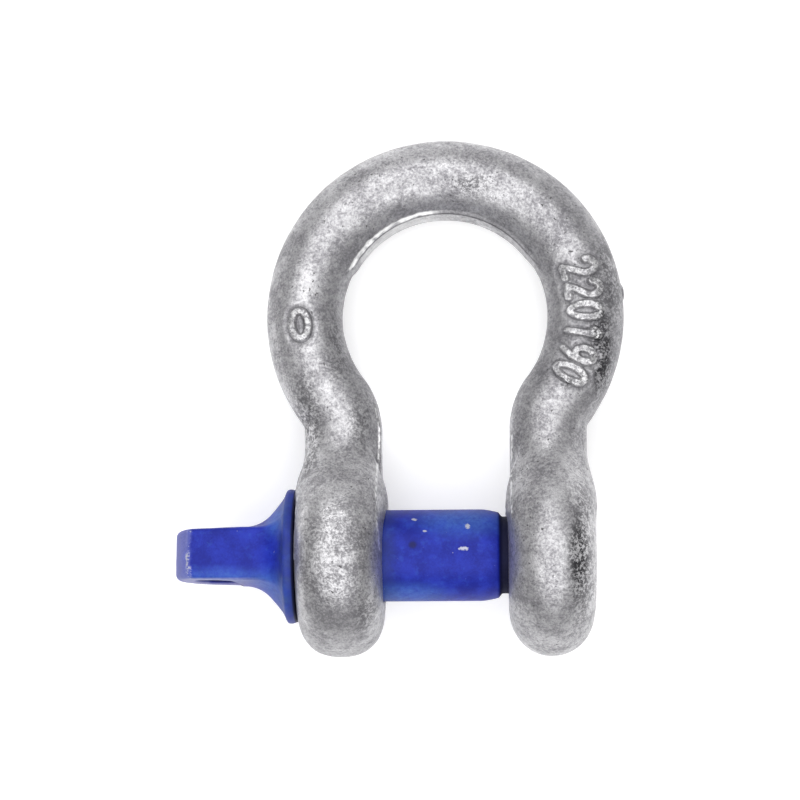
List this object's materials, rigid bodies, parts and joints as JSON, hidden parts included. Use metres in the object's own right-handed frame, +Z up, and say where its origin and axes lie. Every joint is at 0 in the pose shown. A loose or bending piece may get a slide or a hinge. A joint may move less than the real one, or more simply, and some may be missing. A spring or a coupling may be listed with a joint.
{
  "type": "bow shackle",
  "caption": "Forged bow shackle in galvanised steel, lying on its side, with a painted screw pin that has a collar and a flat eye.",
  "frame": {"origin": "on the pin's axis, midway between the two ears' inner faces", "axes": "+X along the pin towards its threaded end, +Y towards the crown of the bow, +Z up; the shackle lies on its side with both ears' rims and the crown on the surface"},
  "size_m": [0.111, 0.1276, 0.0494],
  "materials": {
    "galvanised_steel": "hot-dip galvanised forging: satin, mottled grey zinc with small dark pits",
    "blue_paint": "semi-gloss blue paint over a forging, chipped to bare metal at the tab's edges"
  },
  "bodies": {
    "bow": {"bow": "galvanised_steel"},
    "screw_pin": {"screw_pin": "blue_paint"}
  },
  "joints": [
    {"name": "pin_withdraw", "type": "slide", "parent": "bow", "child": "screw_pin", "axis": [-1, 0, 0], "range_m": [0, 0.078]}
  ]
}
